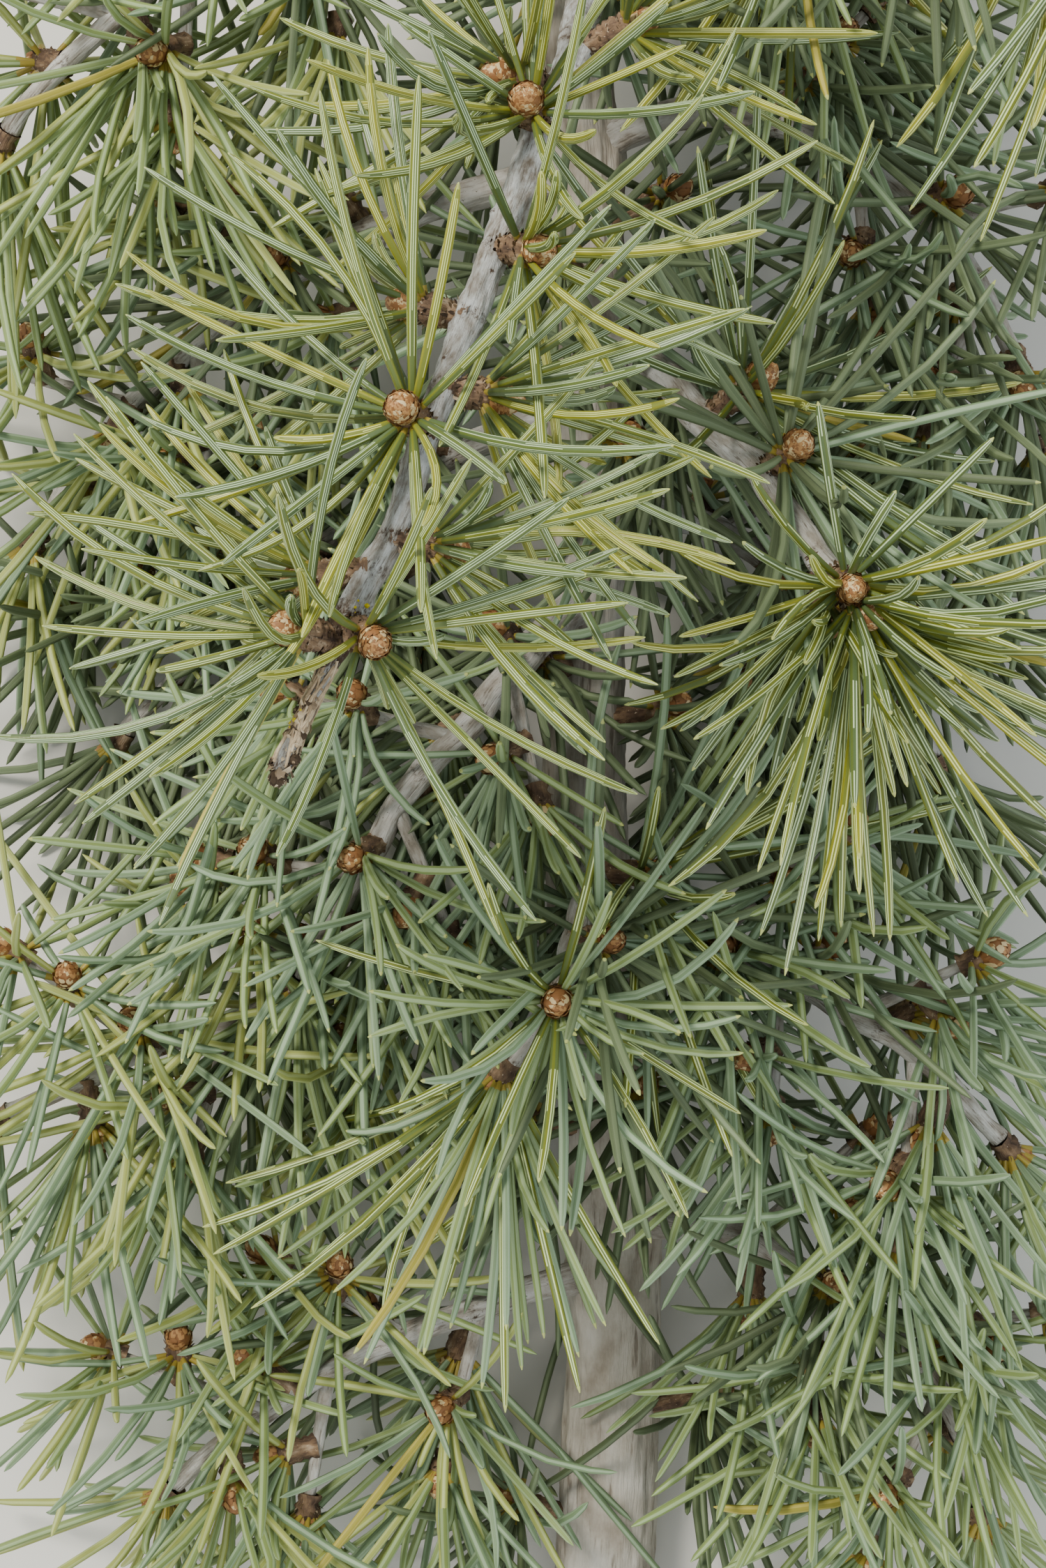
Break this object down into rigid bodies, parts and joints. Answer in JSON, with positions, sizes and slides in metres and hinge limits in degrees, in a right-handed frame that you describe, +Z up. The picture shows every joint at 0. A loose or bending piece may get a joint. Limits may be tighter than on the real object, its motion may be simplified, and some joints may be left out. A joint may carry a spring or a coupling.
{
  "type": "cut branch of a deodar cedar",
  "caption": "Cut deodar cedar branch lying down: a pale stem with drooping side shoots that carry tufts of sage-green needles round brown buds.",
  "frame": {"origin": "middle of the ground that the branch covers, on the ground", "axes": "+Z up, +Y along the main stem from its cut end to its leading shoot, +X to the right seen from above"},
  "size_m": [0.2172, 0.3474, 0.1599],
  "materials": {
    "bark": "matte grey bark",
    "twig": "matte silvery brown bark",
    "needles": "waxy green needles"
  },
  "bodies": {
    "root": {"back_left_shoot": "twig", "back_left_spray": "needles", "back_right_shoot": "twig", "back_right_spray": "needles", "bottom_corner_shoot": "twig", "bottom_corner_spray": "needles", "bottom_corner_tuft": "needles", "bottom_left_shoot": "twig", "bottom_left_spray": "needles", "bottom_left_tuft": "needles", "bottom_right_shoot": "twig", "bottom_right_spray": "needles", "bottom_right_tuft": "needles", "front_shoot": "twig", "front_shoot_base": "twig", "front_tuft_a": "needles", "front_tuft_b": "needles", "front_tuft_c": "needles", "front_tuft_d": "needles", "front_tuft_e": "needles", "front_tuft_f": "needles", "front_tuft_g": "needles", "front_tuft_h": "needles", "front_tuft_i": "needles", "front_tuft_j": "needles", "front_tuft_k": "needles", "leader_spray": "needles", "left_shoot": "twig", "left_spray": "needles", "left_tuft": "needles", "lower_left_shoot": "twig", "lower_left_spray": "needles", "lower_left_tuft": "needles", "lower_right_shoot": "twig", "lower_right_spray": "needles", "lower_right_tuft": "needles", "main_stem": "bark", "middle_shoot": "twig", "middle_spray": "needles", "middle_tuft": "needles", "right_shoot": "twig", "right_spray": "needles", "right_tuft": "needles", "stem_tuft_a": "needles", "stem_tuft_b": "needles", "stem_tuft_c": "needles", "stem_tuft_d": "needles", "top_back_shoot": "twig", "top_back_spray": "needles", "top_left_shoot": "twig", "top_left_spray": "needles", "top_left_tuft": "needles", "top_right_shoot": "twig", "top_right_spray": "needles", "top_right_tuft": "needles", "upper_right_shoot": "twig", "upper_right_spray": "needles", "upper_right_tuft": "needles"}
  },
  "joints": []
}
